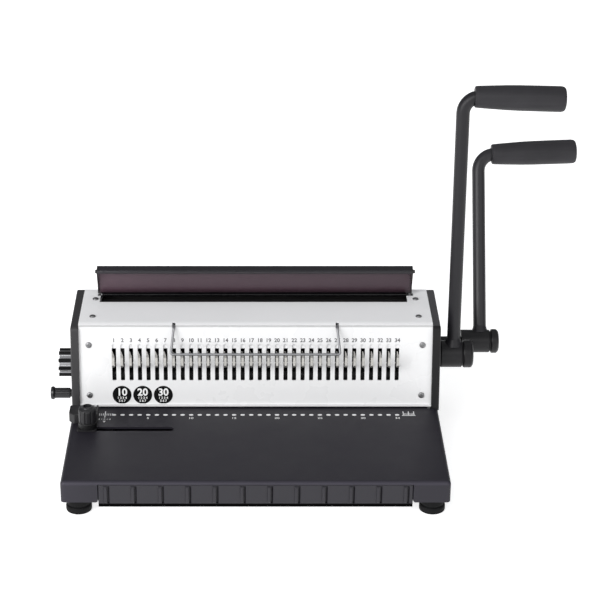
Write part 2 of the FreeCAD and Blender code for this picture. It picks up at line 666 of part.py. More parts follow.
def bushes():
    out = []
    for c, r, ri, ro, rf in ((A, A_R, A_IN, 10.0, 11.4), (B, B_R, B_IN, 8.5, 10.5)):
        for bore, left in ((r, False), (ri, True)):
            b = turned_x([(169.4, bore + 0.05), (169.4, rf), (FRAME_X, rf), (FRAME_X, ro), (173.6, ro),
                          (173.6, bore + 0.05)], c[0], c[1])
            out.append(mirror_x(b) if left else b)
    node("shaft_bushes", group(out))


# ---------------------------------------------------------------------------
# wire closing
# ---------------------------------------------------------------------------
def closer():
    # fixed jaw and floor, one angle bar from frame to frame
    wall = box(-FRAME_X + 0.05, FRAME_X - 0.05, 58.0, 63.4, 97.0, 116.4)
    floor = box(-152.4, 152.4, 58.0, 90.9, 97.0, 99.3)
    s = fuse([wall, floor])
    tools = [cyl_y(50, 70, x, 107.0, 3.5) for x in (-163.5, 163.5)]
    node("closing_anvil", cut(s, tools))
    rb = box(-FRAME_X + 0.05, FRAME_X - 0.05, 91.0, 94.4, 90.0, 116.4)
    rb = cut(rb, [cyl_y(80, 100, x, 107.0, 3.5) for x in (-163.5, 163.5)])
    node("rear_beam", rb)
    node("closing_guide_rods", group([cyl_y(58.0, 94.0, x, 107.0, 3.5) for x in (-163.5, 163.5)]))
    # moving jaw with its arms, racks, stop tabs and guide bosses
    parts = [box(-158.0, 158.0, 81.2, 86.0, 99.7, 115.8)]
    r = B_TEETH / 2.0
    zp = B[1] + r
    for sx in (-1, 1):
        x0, x1 = 154.0, 158.0
        segs = [box(x0, x1, 84.0, 90.3, zp + DED, 115.8),
                box(x0, x1, 58.0, 90.3, zp + DED, 90.5),
                box(x0, x1, 58.0, 63.6, 60.5, 90.5),
                box(157.5, 168.6, 80.0, 90.3, 101.5, 112.5)]
        n0 = int(math.ceil((66.0 - B[0]) / math.pi))
        n1 = int(math.floor((87.5 - B[0]) / math.pi))
        for k in range(n0, n1 + 1):
            yc = B[0] + k * math.pi
            pts = [(yc + u, zp - v) for u, v in rack_tooth(0.0)]
            segs.append(prism_x(pts, x0, x1))
        if sx < 0:
            segs = [mirror_x(q) for q in segs]
        parts += segs
    s = fuse(parts)
    s = cut(s, [cyl_y(70, 100, x, 107.0, 3.55) for x in (-163.5, 163.5)])
    node("closing_bar", s)


def snail(r_hi, r_lo, sweep, n=28):
    """Stop cam outline: largest at the +Y side at rest, smaller as the dial turns."""
    pts = []
    for i in range(n + 1):
        a = sweep * i / n
        rr = r_hi + (r_lo - r_hi) * i / n
        pts.append((rr * math.cos(math.radians(-a)), rr * math.sin(math.radians(-a))))
    # lead-in: keep the largest radius for a few degrees past rest
    pts = [(r_hi * math.cos(math.radians(12)), r_hi * math.sin(math.radians(12)))] + pts
    return pts


def dial_and_margin():
    # size dial outside the left side cover, with nine narrow ridges
    n, r0, r1 = 9, 11.0, 14.6
    pts = []
    for i in range(198):
        a = 2 * math.pi * i / 198
        rr = r0 + (r1 - r0) * (0.5 + 0.5 * math.cos(n * (a + math.radians(14.0)))) ** 2.6
        pts.append((DIAL[0] + rr * math.sin(a), DIAL[1] + rr * math.cos(a)))
    xo, xi = -197.4, -183.2
    body = prism_x(pts, xo, xi)
    skirt = turned_x([(xi - 1.8, 0), (xi - 1.8, 14.6), (xi, 14.6), (xi, 0)], DIAL[0], DIAL[1])
    body = fuse([body, skirt])
    body = cut(body, [cyl_x(xo - 1, xo + 0.7, DIAL[0], DIAL[1], 11.6), cyl_x(xo - 1, xo + 1.9, DIAL[0], DIAL[1], 8.6), cyl_x(xi - 9.0, xi + 1, DIAL[0], DIAL[1], 4.0)])
    node("size_dial", body)
    shaft = fuse([cyl_x(-192.1, 176.0, DIAL[0], DIAL[1], 4.0)])
    node("size_dial_shaft", shaft)
    cams = []
    for x0 in (-158.0, 154.0):
        c = prism_x([(DIAL[0] + y, DIAL[1] + z) for y, z in snail(7.7, 5.0, 270.0)], x0, x0 + 4.0)
        c = cut(c, cyl_x(x0 - 1, x0 + 5, DIAL[0], DIAL[1], 4.0))
        cams.append(c)
    node("size_stop_cams", group(cams))
    # margin knob: flanged, ribbed barrel
    y, z = MARG
    k = turned_x([(-205.0, 0), (-205.0, 5.6), (-204.4, 6.4), (-202.6, 6.7), (-201.6, 6.3), (-201.0, 5.5), (-200.6, 5.2),
                  (-186.1, 5.2), (-185.6, 4.7), (-185.4, 3.9), (-182.7, 3.9), (-182.7, 0)], y, z)
    flutes = [cyl_x(-200.2, -184.0, y + 5.9 * math.cos(a), z + 5.9 * math.sin(a), 1.0)
              for a in [math.radians(30 * i + 9) for i in range(12)]]
    k = cut(k, flutes)
    k = cut(k, cyl_x(-196.0, -180.0, y, z, 3.0))
    node("margin_knob", k)
    stub = cyl_x(-195.9, -158.0, y, z, 3.0)
    stub2 = cyl_x(158.0, 173.7, y, z, 4.0)
    sleeve = cyl_x(-180.0, -158.0, y, z, 4.0)
    bar = box(-155.0, 155.0, y - 5.2, y + 3.6, z - 5.0, z + 4.4)
    bar = chamfer(bar, 0.8, lambda b: b.XLength > 300)
    collars = [cyl_x(-158.1, -154.9, y, z, 4.0), cyl_x(154.9, 158.1, y, z, 4.0)]
    node("paper_stop_bar", fuse([bar, stub, sleeve, stub2] + collars))


# ---------------------------------------------------------------------------
# lid, bail, side guide
# ---------------------------------------------------------------------------
def lid():
    y0, z0 = LID_Y, LID_Z
    # upright sheet with a folded lip along the top
    def pts(lo):
        return [(y0 - 0.2, z0 + lo), (y0 + 1.8, z0 + lo), (y0 + 1.8, 151.8), (y0 + 1.4, 153.1), (y0 + 0.5, 154.0),
                (y0 - 0.8, 154.3), (y0 - 8.6, 153.5), (y0 - 9.9, 152.9), (y0 - 10.5, 151.9), (y0 - 10.5, 150.1),
                (y0 - 9.9, 149.6), (y0 - 9.0, 149.9), (y0 - 8.5, 151.1), (y0 - 7.7, 151.5), (y0 - 1.4, 152.1),
                (y0 - 0.6, 151.8), (y0 - 0.2, 150.9)]
    sheet = fuse([prism_x(pts(0.0), -155.5, 155.5), prism_x(pts(1.9), LID_X0, LID_X1)])
    # end walls, cut back near the hinge to clear the deck screws
    wall_p = [(y0 - 0.1, z0 + 1.9), (y0 - 0.1, 152.2), (y0 - 8.8, 152.2), (y0 - 10.0, 151.4), (y0 - 9.5, 150.2),
              (y0 - 3.4, z0 + 14.4), (y0 - 1.1, z0 + 8.4), (y0 - 0.5, z0 + 1.9)]
    walls = [prism_x(wall_p, x, x + 1.8) for x in (LID_X0, LID_X1 - 1.8)]
    bead = cyl_x(-155.5, 155.5, y0, z0, 1.4)
    # small catches at the two upper corners
    tabs = [box(x, x + 2.1, y0 - 10.2, y0 - 7.4, 150.4, 153.0) for x in (LID_X0 - 1.4, LID_X1 - 0.3)]
    s = fuse([sheet, bead] + walls + tabs)
    s = cut(s, cyl_x(-156, 156, y0, z0, 0.95 + 0.05))
    node("lid", s)
    node("lid_hinge_pin", cyl_x(-159.2, 159.2, y0, z0, 0.95))
    br = []
    for sx in (-1, 1):
        b = fuse([box(156.3, 159.3, y0 - 1.4, y0 + 1.4, 118.8, z0), cyl_x(156.3, 159.3, y0, z0, 1.4)])
        b = cut(b, cyl_x(156, 160, y0, z0, 0.95))
        br.append(b if sx > 0 else mirror_x(b))
    node("lid_hinge_brackets", group(br))


def tube_path(pts, r, bend):
    """Round wire through the points, with tangent arcs at the corners."""
    edges = []
    P = [V(*p) for p in pts]
    start = P[0]
    for i in range(1, len(P) - 1):
        a = (P[i - 1] - P[i]).normalize()
        b = (P[i + 1] - P[i]).normalize()
        half = math.acos(max(-1, min(1, a.dot(b)))) / 2
        d = bend / math.tan(half)
        p1 = P[i] + a * d
        p2 = P[i] + b * d
        bis = (a + b).normalize()
        centre = P[i] + bis * (bend / math.sin(half))
        mid = centre - bis * bend
        edges.append(Part.LineSegment(start, p1).toShape())
        edges.append(Part.Arc(p1, mid, p2).toShape())
        start = p2
    edges.append(Part.LineSegment(start, P[-1]).toShape())
    w = Part.Wire(edges)
    d0 = P[1] - P[0]
    prof = Part.Wire([Part.makeCircle(r, P[0], d0)])
    s = w.makePipeShell([prof], True, True)
    return s if s.ShapeType == "Solid" else Part.Solid(s)


BAIL = (15.6, 119.3)          # bail pivot (y, z)


def bail():
    r = 1.2
    y0, z0 = BAIL
    by, bz = -6.7, 98.2
    pts = [(-87.0, y0, z0), (-80.3, y0, z0), (-80.3, 8.8, z0), (-83.0, by, bz), (83.0, by, bz),
           (80.3, 8.8, z0), (80.3, y0, z0), (87.0, y0, z0)]
    node("wire_bail", tube_path(pts, r, 2.0))
    clips = []
    for sx in (-1, 1):
        c = box(82.6, 86.6, y0 - 1.6, y0 + 4.4, z0 - 2.3, DECK_Z - SHEET)
        c = cut(c, cyl_x(80, 90, y0, z0, r + 0.06))
        clips.append(c if sx > 0 else mirror_x(c))
    node("bail_clips", group(clips))


GX, GY = -163.0, -45.7          # clamping knob of the side guide, over the slot


def side_guide():
    z0 = TRAY_Z + 0.3
    top = z0 + 9.6
    plan = [(-182.5, -15.0), (-158.6, -15.0), (-158.6, -36.0), (-177.0, -36.0), (-182.5, -31.0)]
    b = face_of([V(x, y, z0) for x, y in plan]).extrude(V(0, 0, top - z0))
    b = fillet(b, 1.8, lambda q: q.ZLength > 5 and q.XLength < 0.01 and not near(q.XMin, -158.6))
    b = chamfer(b, 0.5, lambda q: q.ZMin > top - 0.01)
    # thin foot that reaches over the slot, and the fence that the sheets meet
    foot = fillet(box(-173.5, -154.6, -53.0, -35.0, z0, z0 + 1.8), 2.0,
                  lambda q: near(q.YMin, -53.0) and near(q.YMax, -53.0) and q.ZLength > 1)
    link = box(-160.0, -154.6, -36.0, -15.0, z0, z0 + 1.8)
    fence = chamfer(box(-156.6, -154.6, -36.0, -14.4, z0, top), 0.5, lambda q: q.ZMin > top - 0.01)
    b = fuse([b, foot, link, fence])
    b = cut(b, cyl_z(30, 60, GX, GY, 1.66))
    node("side_guide_block", b)
    # tall fluted clamping knob with a collar at its foot and a recess in its top
    zk = z0 + 2.1
    k = turned_z([(0, zk), (8.5, zk), (9.0, zk + 0.5), (9.0, zk + 5.4), (8.5, zk + 5.9), (8.5, zk + 6.4), (8.8, zk + 6.8),
                  (8.8, zk + 18.3), (8.4, zk + 19.4), (7.3, zk + 20.4), (5.8, zk + 21.1), (5.3, zk + 21.9),
                  (4.8, zk + 22.2), (3.9, zk + 22.2), (3.6, zk + 20.2), (0, zk + 20.2)], GX, GY)
    flutes = [cyl_z(zk + 6.6, zk + 24.0, GX + 9.6 * math.cos(a), GY + 9.6 * math.sin(a), 1.5)
              for a in [math.radians(36 * i + 9) for i in range(10)]]
    k = cut(k, flutes + [cyl_z(zk - 2, zk + 12.0, GX, GY, 1.6)])
    node("side_guide_knob", k)
    node("side_guide_stud", cyl_z(31.4, zk + 12.0, GX, GY, 1.6))
    # shoe under the tray, its neck in the slot; the stud goes through both
    shoe = fuse([box(-170.5, -155.5, -51.4, -40.0, 31.2, 34.5), box(-168.4, -157.6, -48.3, -43.1, 34.4, z0)])
    shoe = cut(shoe, cyl_z(30, 40, GX, GY, 1.66))
    node("side_guide_shoe", shoe)


def build():
    feet()
    base_pan()
    tray_cover()
    drawer()
    side_covers()
    frame_plates()
    front_panel()
    top_cover()
    rear_cover()
    screws()
    hook_comb()
    die_block()
    punch_guide()
    punch_bar()
    springs()
    drives()
    bushes()
    closer()
    dial_and_margin()
    lid()
    bail()
    side_guide()
    os.makedirs("parts", exist_ok=True)
    lo, hi = [1e9] * 3, [-1e9] * 3
    for name, s in NODES.items():
        s = s.copy()
        s.translate(V(-OFF_X, -OFF_Y, 0))
        b = s.BoundBox
        lo = [min(lo[0], b.XMin), min(lo[1], b.YMin), min(lo[2], b.ZMin)]
        hi = [max(hi[0], b.XMax), max(hi[1], b.YMax), max(hi[2], b.ZMax)]
        ok = s.isValid()
        print("%-22s solids %3d  vol %10.1f  valid %s  x %.1f..%.1f  y %.1f..%.1f  z %.1f..%.1f" % (
            name, len(s.Solids), s.Volume, ok, b.XMin, b.XMax, b.YMin, b.YMax, b.ZMin, b.ZMax))
        s.exportStep("parts/%s.step" % name)
    print("nodes", len(NODES), "box", [round(v, 3) for v in lo], [round(v, 3) for v in hi])


build()
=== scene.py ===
import math

import bmesh
import bpy
from mathutils import Matrix, Vector


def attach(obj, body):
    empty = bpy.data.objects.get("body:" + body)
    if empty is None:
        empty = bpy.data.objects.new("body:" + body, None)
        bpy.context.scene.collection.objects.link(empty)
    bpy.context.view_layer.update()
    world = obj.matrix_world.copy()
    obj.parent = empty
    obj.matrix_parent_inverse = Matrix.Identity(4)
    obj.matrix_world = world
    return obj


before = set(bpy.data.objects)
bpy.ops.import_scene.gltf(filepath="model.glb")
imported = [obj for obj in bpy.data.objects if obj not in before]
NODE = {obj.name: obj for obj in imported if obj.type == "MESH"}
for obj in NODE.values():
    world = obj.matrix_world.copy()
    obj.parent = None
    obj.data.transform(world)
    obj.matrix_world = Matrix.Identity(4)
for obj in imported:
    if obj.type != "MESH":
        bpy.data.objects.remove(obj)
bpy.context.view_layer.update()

# The drawing of the machine is in millimetres from the middle of its body.
# The frame's origin is the middle of the whole footprint.
OFF = Vector((61.95, 11.63, 0.0))
LEAN = math.radians(8.0)
TRAY_Z = 37.0
PITCH = 25.4 / 3.0


def mm(x, y, z):
    return (Vector((x, y, z)) - OFF) / 1000.0


def panel_pt(x, h, off):
    """Point at height h on the leaning front panel, off in front of it."""
    s, c = math.sin(LEAN), math.cos(LEAN)
    return mm(x, h * s - off * c, TRAY_Z + h * c + off * s)


PANEL_AXES = Matrix(((1, 0, 0), (0, math.sin(LEAN), -math.cos(LEAN)), (0, math.cos(LEAN), math.sin(LEAN))))
TRAY_AXES = Matrix.Identity(3)


# ---------------------------------------------------------------------------
# materials
# ---------------------------------------------------------------------------
def new_mat(name):
    m = bpy.data.materials.new(name)
    m.use_nodes = True
    nt = m.node_tree
    nt.nodes.clear()
    out = nt.nodes.new("ShaderNodeOutputMaterial")
    p = nt.nodes.new("ShaderNodeBsdfPrincipled")
    nt.links.new(p.outputs["BSDF"], out.inputs["Surface"])
    return m, nt, p


def coords(nt, scale=(1, 1, 1), rot=(0, 0, 0)):
    tc = nt.nodes.new("ShaderNodeTexCoord")
    mp = nt.nodes.new("ShaderNodeMapping")
    mp.inputs["Scale"].default_value = scale
    mp.inputs["Rotation"].default_value = rot
    nt.links.new(tc.outputs["Object"], mp.inputs["Vector"])
    return mp.outputs["Vector"]


def noise(nt, vec, scale, detail=3.0, rough=0.55):
    n = nt.nodes.new("ShaderNodeTexNoise")
    n.inputs["Scale"].default_value = scale
    n.inputs["Detail"].default_value = detail
    n.inputs["Roughness"].default_value = rough
    nt.links.new(vec, n.inputs["Vector"])
    return n.outputs["Fac"]


def ramp(nt, fac, stops):
    r = nt.nodes.new("ShaderNodeValToRGB")
    el = r.color_ramp.elements
    while len(el) < len(stops):
        el.new(0.5)
    for e, (pos, col) in zip(el, stops):
        e.position = pos
        e.color = (*col, 1.0)
    nt.links.new(fac, r.inputs["Fac"])
    return r.outputs["Color"]


def spread(nt, fac, lo, hi, a=0.3, b=0.7):
    r = nt.nodes.new("ShaderNodeMapRange")
    r.inputs["From Min"].default_value = a
    r.inputs["From Max"].default_value = b
    r.inputs["To Min"].default_value = lo
    r.inputs["To Max"].default_value = hi
    nt.links.new(fac, r.inputs["Value"])
    return r.outputs["Result"]


def bump(nt, p, height, strength, dist):
    b = nt.nodes.new("ShaderNodeBump")
    b.inputs["Strength"].default_value = strength
    b.inputs["Distance"].default_value = dist
    nt.links.new(height, b.inputs["Height"])
    nt.links.new(b.outputs["Normal"], p.inputs["Normal"])
    return b


def shade(c, k):
    return tuple(min(1.0, v * k) for v in c)


def axis_of(nt, which):
    tc = nt.nodes.new("ShaderNodeTexCoord")
    sep = nt.nodes.new("ShaderNodeSeparateXYZ")
    nt.links.new(tc.outputs["Object"], sep.inputs[0])
    return sep.outputs[which]


def calc(nt, op, *args):
    n = nt.nodes.new("ShaderNodeMath")
    n.operation = op
    for i, a in enumerate(args):
        if isinstance(a, (int, float)):
            n.inputs[i].default_value = a
        else:
            nt.links.new(a, n.inputs[i])
    return n.outputs[0]


def scaled(nt, col, fac):
    n = nt.nodes.new("ShaderNodeVectorMath")
    n.operation = "SCALE"
    nt.links.new(col, n.inputs[0])
    nt.links.new(fac, n.inputs["Scale"])
    return n.outputs["Vector"]


def paint(name, col, rough=(0.42, 0.5), spec=0.5, grain=2600.0, depth=0.00002, strength=0.25, vary=0.05,
          patch=14.0, coat=0.0, sheen=0.0, mask=None, gloss=None):
    """Paint, powder coat or moulded plastic: slow colour drift, uneven gloss and a fine grain."""
    m, nt, p = new_mat(name)
    v = coords(nt)
    slow = noise(nt, v, patch, 4.0, 0.6)
    fine = noise(nt, v, grain, 2.0, 0.5)
    base = ramp(nt, slow, [(0.3, shade(col, 1 - vary)), (0.7, shade(col, 1 + vary))])
    nt.links.new(scaled(nt, base, mask(nt)) if mask else base, p.inputs["Base Color"])
    nt.links.new(spread(nt, slow, rough[0], rough[1]), p.inputs["Roughness"])
    bump(nt, p, fine, strength, depth)
    if gloss:
        nt.links.new(calc(nt, "MULTIPLY", gloss(nt), spec), p.inputs["Specular IOR Level"])
    else:
        p.inputs["Specular IOR Level"].default_value = spec
    if coat:
        p.inputs["Coat Weight"].default_value = coat
        p.inputs["Coat Roughness"].default_value = 0.12
    if sheen:
        p.inputs["Sheen Weight"].default_value = sheen
        p.inputs["Sheen Roughness"].default_value = 0.4
    return m


def metal(name, col, rough=(0.22, 0.36), stretch=(1, 1, 1), grain=900.0, depth=0.00001, strength=0.2, vary=0.08):
    """Metal with a drawn or ground grain along the axis that has the small stretch."""
    m, nt, p = new_mat(name)
    v = coords(nt, stretch)
    g = noise(nt, v, grain, 3.0, 0.6)
    slow = noise(nt, coords(nt), 60.0, 3.0, 0.6)
    nt.links.new(ramp(nt, slow, [(0.3, shade(col, 1 - vary)), (0.7, shade(col, 1 + vary))]), p.inputs["Base Color"])
    nt.links.new(spread(nt, g, rough[0], rough[1]), p.inputs["Roughness"])
    bump(nt, p, g, strength, depth)
    p.inputs["Metallic"].default_value = 1.0
    return m


def tray_edge(nt):
    """Painted highlight: the paint shows lighter along the rounded front edge and the left corner; painted shade makes
    it darker towards the panel.
    """
    y = axis_of(nt, "Y")
    a = spread(nt, y, 1.0, 0.0, -0.1624, -0.1590)
    b = spread(nt, axis_of(nt, "Z"), 0.0, 1.0, 0.0330, 0.0346)
    left = spread(nt, axis_of(nt, "X"), 0.32, 0.0, -0.2430, -0.2120)
    edge = calc(nt, "MULTIPLY", a, calc(nt, "MULTIPLY_ADD", b, 1.0, left))
    return calc(nt, "MULTIPLY", calc(nt, "ADD", edge, 1.0), spread(nt, y, 1.0, 0.80, -0.0900, -0.0190))


def drawer_foot(nt):
    """Painted shade: the lower edge of the drawer front is darker and reflects less."""
    return spread(nt, axis_of(nt, "Z"), 0.04, 1.0, 0.0137, 0.0143)


def side_rim(nt, front, top):
    """Painted shade and light: the rim of the right side cover is darker in front and lighter on top; its outer face
    and foot keep their colour.
    """
    rim = calc(nt, "MULTIPLY", spread(nt, axis_of(nt, "X"), 1.0, 0.0, 0.1197, 0.1201), spread(nt, axis_of(nt, "Z"), 0.0, 1.0, 0.0352, 0.0362))
    f = spread(nt, axis_of(nt, "Y"), front - 1.0, top - 1.0, 0.0004, 0.0030)
    return calc(nt, "ADD", calc(nt, "MULTIPLY", rim, f), 1.0)


def side_bands(nt):
    return side_rim(nt, 0.45, 2.1)


def side_gloss(nt):
    return side_rim(nt, 0.5, 1.15)


def knob_foot(nt):
    return spread(nt, axis_of(nt, "Z"), 0.25, 1.0, 0.0452, 0.0468)


def deck_edge(nt):
    """Painted shade: the turned-down front edge of the deck lies in its own shade, most at the seam; painted light
    makes the deck lighter to the right.
    """
    z = axis_of(nt, "Z")
    seam = calc(nt, "MULTIPLY", spread(nt, z, 0.0, 1.0, 0.1190, 0.1196), spread(nt, z, 1.0, 0.0, 0.1212, 0.1219))
    edge = calc(nt, "MULTIPLY", spread(nt, axis_of(nt, "Y"), 0.86, 1.0, 0.0018, 0.0030), calc(nt, "MULTIPLY_ADD", seam, -0.24, 1.0))
    return calc(nt, "MULTIPLY", edge, spread(nt, axis_of(nt, "X"), 0.99, 1.05, -0.1000, 0.1000))


def panel_seam(nt):
    """A thin shade where the panel goes in under the deck."""
    return spread(nt, axis_of(nt, "Z"), 1.0, 0.64, 0.1186, 0.1196)


M = {}
M["tray"] = paint("tray_satin_paint", (0.0165, 0.0149, 0.0214), (0.46, 0.56), 0.32, grain=1800, depth=0.00004, strength=0.35, vary=0.07, mask=tray_edge)
M["drawer"] = paint("drawer_plastic", (0.0212, 0.0200, 0.0252), (0.46, 0.56), 0.33, grain=1500, depth=0.00004, strength=0.35, vary=0.06, mask=drawer_foot, gloss=drawer_foot)
M["side"] = paint("side_cover_plastic", (0.0262, 0.0255, 0.0270), (0.42, 0.54), 0.4, grain=1700, depth=0.00005, strength=0.4, vary=0.06)
# Same plastic as the left cover, with painted shade and light on the rim of the right cover.
M["side_right_painted_light"] = paint("side_cover_plastic_right_painted_light", (0.0262, 0.0255, 0.0270), (0.42, 0.54), 0.4, grain=1700, depth=0.00005, strength=0.4, vary=0.06, mask=side_bands, gloss=side_gloss)
M["panel"] = paint("panel_white_enamel", (0.775, 0.775, 0.78), (0.24, 0.32), 0.5, grain=420, depth=0.00002, strength=0.06, vary=0.008, coat=0.3, mask=panel_seam)
M["deck"] = paint("deck_white_enamel", (0.94, 0.94, 0.95), (0.3, 0.38), 0.45, grain=500, depth=0.00002, strength=0.08, vary=0.01, coat=0.2, mask=deck_edge)
M["rear"] = paint("rear_panel_enamel", (0.72, 0.72, 0.73), (0.36, 0.44), 0.45, grain=700, depth=0.00002, strength=0.1, vary=0.012)
M["lever"] = paint("lever_satin_black", (0.0108, 0.0102, 0.0126), (0.36, 0.46), 0.33, grain=900, depth=0.00003, strength=0.2, vary=0.06)
# Lighter copy of the lever paint for the closing lever rod: painted light.
M["lever_b_painted_lighter"] = paint("lever_satin_black_painted_lighter", (0.0158, 0.0150, 0.0180), (0.36, 0.46), 0.38, grain=900, depth=0.00003, strength=0.2, vary=0.06)
M["hub"] = paint("hub_black_enamel", (0.0065, 0.0062, 0.0075), (0.34, 0.44), 0.32, grain=900, depth=0.00002, strength=0.15, vary=0.06)
M["cap"] = paint("cap_plastic", (0.0075, 0.0072, 0.0082), (0.3, 0.42), 0.28, grain=1500, depth=0.00003, strength=0.25, vary=0.05)
# Lighter copy of the cap plastic for the closing lever cap: painted light.
M["cap_b_painted_lighter"] = paint("cap_plastic_painted_lighter", (0.0090, 0.0087, 0.0098), (0.3, 0.42), 0.30, grain=1500, depth=0.00003, strength=0.25, vary=0.05)
M["knob_g"] = paint("knob_satin_plastic", (0.0125, 0.0122, 0.0138), (0.36, 0.46), 0.42, grain=900, depth=0.00002, strength=0.15, vary=0.06, mask=knob_foot)
M["knob"] = paint("knob_gloss_plastic", (0.0115, 0.0113, 0.0125), (0.2, 0.28), 0.45, grain=600, depth=0.00001, strength=0.08, vary=0.05)
M["guide"] = paint("guide_plastic", (0.0160, 0.0154, 0.0170), (0.42, 0.52), 0.35, grain=1600, depth=0.00004, strength=0.3, vary=0.06)
M["rubber"] = paint("foot_rubber", (0.0035, 0.0035, 0.004), (0.6, 0.72), 0.16, grain=2200, depth=0.00006, strength=0.4, vary=0.1)
M["chassis"] = paint("chassis_grey_paint", (0.30, 0.30, 0.31), (0.45, 0.55), 0.4, grain=900, depth=0.00003, strength=0.2, vary=0.04)
# Black oxide steel; its near-black tone is also painted shade for the punch bar and punches behind the slots and the
# closing parts under the lid.
M["black_steel"] = paint("black_oxide_steel_painted_shade", (0.010, 0.0098, 0.010), (0.4, 0.5), 0.3, grain=1200, depth=0.00003, strength=0.25, vary=0.15)
M["tool_x"] = metal("ground_tool_steel", (0.42, 0.42, 0.43), (0.3, 0.45), (0.05, 1, 1))
M["bright_z"] = metal("bright_pin_steel", (0.62, 0.62, 0.64), (0.16, 0.26), (1, 1, 0.06))
M["bright_x"] = metal("bright_shaft_steel", (0.60, 0.60, 0.62), (0.18, 0.28), (0.05, 1, 1))
M["zinc"] = metal("zinc_screw", (0.50, 0.50, 0.52), (0.28, 0.4), (1, 1, 1), grain=2500)
M["screw"] = metal("blackened_screw", (0.27, 0.27, 0.275), (0.3, 0.42), (1, 1, 1), grain=2500)
M["wire"] = metal("bail_wire", (0.30, 0.30, 0.31), (0.42, 0.52), (0.1, 1, 1), grain=1500, strength=0.1)
M["hook"] = metal("hook_steel", (0.50, 0.49, 0.465), (0.24, 0.36), (1, 1, 0.1), grain=1400, strength=0.15)
M["brass"] = metal("bush_bronze", (0.55, 0.37, 0.17), (0.3, 0.42), (1, 1, 1), grain=1600)


def dial_mat():
    """The bright metal core between the black ridges is a painted reflection: the tone changes with the distance from
    the dial's axis.
    """
    m, nt, p = new_mat("dial_painted_reflection")
    y = calc(nt, "SUBTRACT", axis_of(nt, "Y"), (42.0 - OFF.y) / 1000.0)
    z = calc(nt, "SUBTRACT", axis_of(nt, "Z"), 0.0657)
    r = calc(nt, "SQRT", calc(nt, "ADD", calc(nt, "MULTIPLY", y, y), calc(nt, "MULTIPLY", z, z)))
    out = spread(nt, r, 0.0, 1.0, 0.0114, 0.0121)
    nt.links.new(ramp(nt, out, [(0.0, (0.44, 0.44, 0.455)), (1.0, (0.0045, 0.0045, 0.005))]), p.inputs["Base Color"])
    nt.links.new(spread(nt, out, 0.5, 0.16, 0.0, 1.0), p.inputs["Specular IOR Level"])
    nt.links.new(spread(nt, out, 1.0, 0.0, 0.0, 1.0), p.inputs["Metallic"])
    fine = noise(nt, coords(nt, (0.1, 1, 1)), 900.0, 3.0, 0.6)
    nt.links.new(spread(nt, fine, 0.24, 0.34), p.inputs["Roughness"])
    bump(nt, p, fine, 0.15, 0.00001)
    return m


def grip_mat():
    """Moulded rubber with faint streaks along the grip and fine pores."""
    m, nt, p = new_mat("grip_rubber")
    v = coords(nt)
    pores = nt.nodes.new("ShaderNodeTexVoronoi")
    pores.inputs["Scale"].default_value = 1100.0
    nt.links.new(v, pores.inputs["Vector"])
    slow = noise(nt, v, 40.0, 4.0, 0.6)
    fine = noise(nt, v, 2400.0, 2.0, 0.5)
    streak = noise(nt, coords(nt, (0.04, 1, 1)), 420.0, 3.0, 0.6)
    nt.links.new(ramp(nt, slow, [(0.3, (0.0160, 0.0152, 0.0180)), (0.7, (0.0222, 0.0210, 0.0245))]), p.inputs["Base Color"])
    nt.links.new(spread(nt, streak, 0.42, 0.66), p.inputs["Roughness"])
    a = nt.nodes.new("ShaderNodeMath")
    a.operation = "MULTIPLY_ADD"
    nt.links.new(streak, a.inputs[0])
    a.inputs[1].default_value = 1.6
    nt.links.new(fine, a.inputs[2])
    mix = nt.nodes.new("ShaderNodeMath")
    mix.operation = "ADD"
    nt.links.new(pores.outputs["Distance"], mix.inputs[0])
    nt.links.new(a.outputs[0], mix.inputs[1])
    bump(nt, p, mix.outputs[0], 0.4, 0.00006)
    p.inputs["Specular IOR Level"].default_value = 0.32
    p.inputs["Sheen Weight"].default_value = 0.03
    return m


def lid_mat():
    """Smoked plastic with painted shade: darker along the folded top edge."""
    m, nt, p = new_mat("lid_smoked_plastic_painted_shade_and_light")
    tc = nt.nodes.new("ShaderNodeTexCoord")
    sep = nt.nodes.new("ShaderNodeSeparateXYZ")
    nt.links.new(tc.outputs["Object"], sep.inputs[0])
    up = spread(nt, sep.outputs["Z"], 0.0, 1.0, 0.1225, 0.1535)
    col = ramp(nt, up, [(0.0, (0.004, 0.004, 0.005)), (0.07, (0.006, 0.005, 0.006)), (0.105, (0.060, 0.034, 0.046)),
                        (0.5, (0.079, 0.050, 0.064)), (0.78, (0.074, 0.047, 0.060)), (0.87, (0.016, 0.013, 0.020))])
    # painted shade makes the end walls dark, and painted light makes it a little lighter towards the left end
    x = calc(nt, "ADD", sep.outputs["X"], OFF.x / 1000.0)
    walls = calc(nt, "MULTIPLY", spread(nt, x, 0.2, 1.0, -0.1582, -0.1574), spread(nt, x, 1.0, 0.2, 0.1562, 0.1570))
    slope = calc(nt, "ADD", spread(nt, x, 0.24, 0.0, -0.1500, -0.0900), spread(nt, x, 1.16, 0.90, -0.1550, 0.1500))
    col = scaled(nt, col, calc(nt, "MULTIPLY", walls, slope))
    nt.links.new(col, p.inputs["Base Color"])
    fine = noise(nt, coords(nt), 35.0, 3.0, 0.5)
    nt.links.new(spread(nt, fine, 0.16, 0.22), p.inputs["Roughness"])
    p.inputs["Transmission Weight"].default_value = 0.6
    p.inputs["IOR"].default_value = 1.49
    p.inputs["Specular IOR Level"].default_value = 0.45
    return m


M["dial"] = dial_mat()
M["grip"] = grip_mat()
M["lid"] = lid_mat()
M["print_white"] = paint("print_white", (0.78, 0.78, 0.78), (0.5, 0.6), 0.4, grain=3000, strength=0.1, vary=0.06, patch=900)
M["print_grey"] = paint("print_grey", (0.10, 0.10, 0.105), (0.5, 0.6), 0.4, grain=3000, strength=0.1, vary=0.08, patch=900)
M["print_black"] = paint("print_black", (0.0022, 0.0022, 0.0026), (0.5, 0.6), 0.12, grain=3000, strength=0.1, vary=0.08, patch=900)

